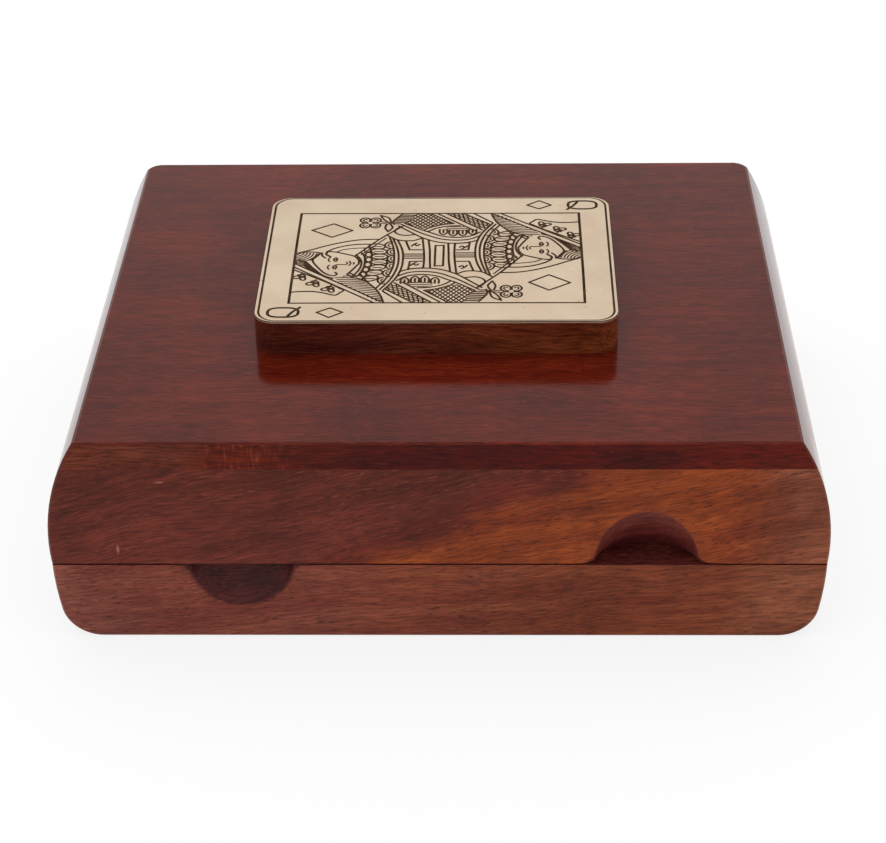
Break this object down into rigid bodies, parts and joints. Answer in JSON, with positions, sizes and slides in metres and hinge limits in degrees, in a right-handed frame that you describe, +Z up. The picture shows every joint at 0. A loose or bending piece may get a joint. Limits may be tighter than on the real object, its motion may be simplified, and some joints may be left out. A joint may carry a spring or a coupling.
{
  "type": "playing card box",
  "caption": "Low lacquered wooden card box with rounded ends, a hinged lid, offset finger scoops and an engraved brass card plate.",
  "frame": {"origin": "middle of the flat underside, midway between the box's front and back faces", "axes": "+X to the right along the length, +Y to the back where the hinges are, +Z up"},
  "size_m": [0.1654, 0.1312, 0.0587],
  "materials": {
    "rail_rosewood": "clear lacquer",
    "top_rosewood": "clear gloss lacquer",
    "block_rosewood": "clear lacquer",
    "floor_board": "unfinished board",
    "felt": "pressed felt",
    "engraved_brass": "polished, engraved lines filled dark",
    "hinge_brass": "polished"
  },
  "bodies": {
    "base": {"base_front_rail": "rail_rosewood", "base_back_rail": "rail_rosewood", "base_left_end_rail": "rail_rosewood", "base_right_end_rail": "rail_rosewood", "base_floor": "floor_board", "deck_divider": "rail_rosewood", "left_felt_pad": "felt", "right_felt_pad": "felt", "left_hinge_base_leaf": "hinge_brass", "right_hinge_base_leaf": "hinge_brass", "left_hinge_pin": "hinge_brass", "right_hinge_pin": "hinge_brass", "base_hinge_screws": "hinge_brass"},
    "lid": {"lid_front_rail": "rail_rosewood", "lid_back_rail": "rail_rosewood", "lid_left_end_rail": "rail_rosewood", "lid_right_end_rail": "rail_rosewood", "lid_top_board": "top_rosewood", "card_block": "block_rosewood", "card_plate": "engraved_brass", "left_hinge_lid_leaf": "hinge_brass", "right_hinge_lid_leaf": "hinge_brass", "lid_hinge_screws": "hinge_brass"}
  },
  "joints": [
    {"name": "lid_hinge", "type": "hinge", "parent": "base", "child": "lid", "pos_m": [0, 0.0657, 0.0195], "axis": [-1, 0, 0], "range_deg": [0, 130]}
  ]
}
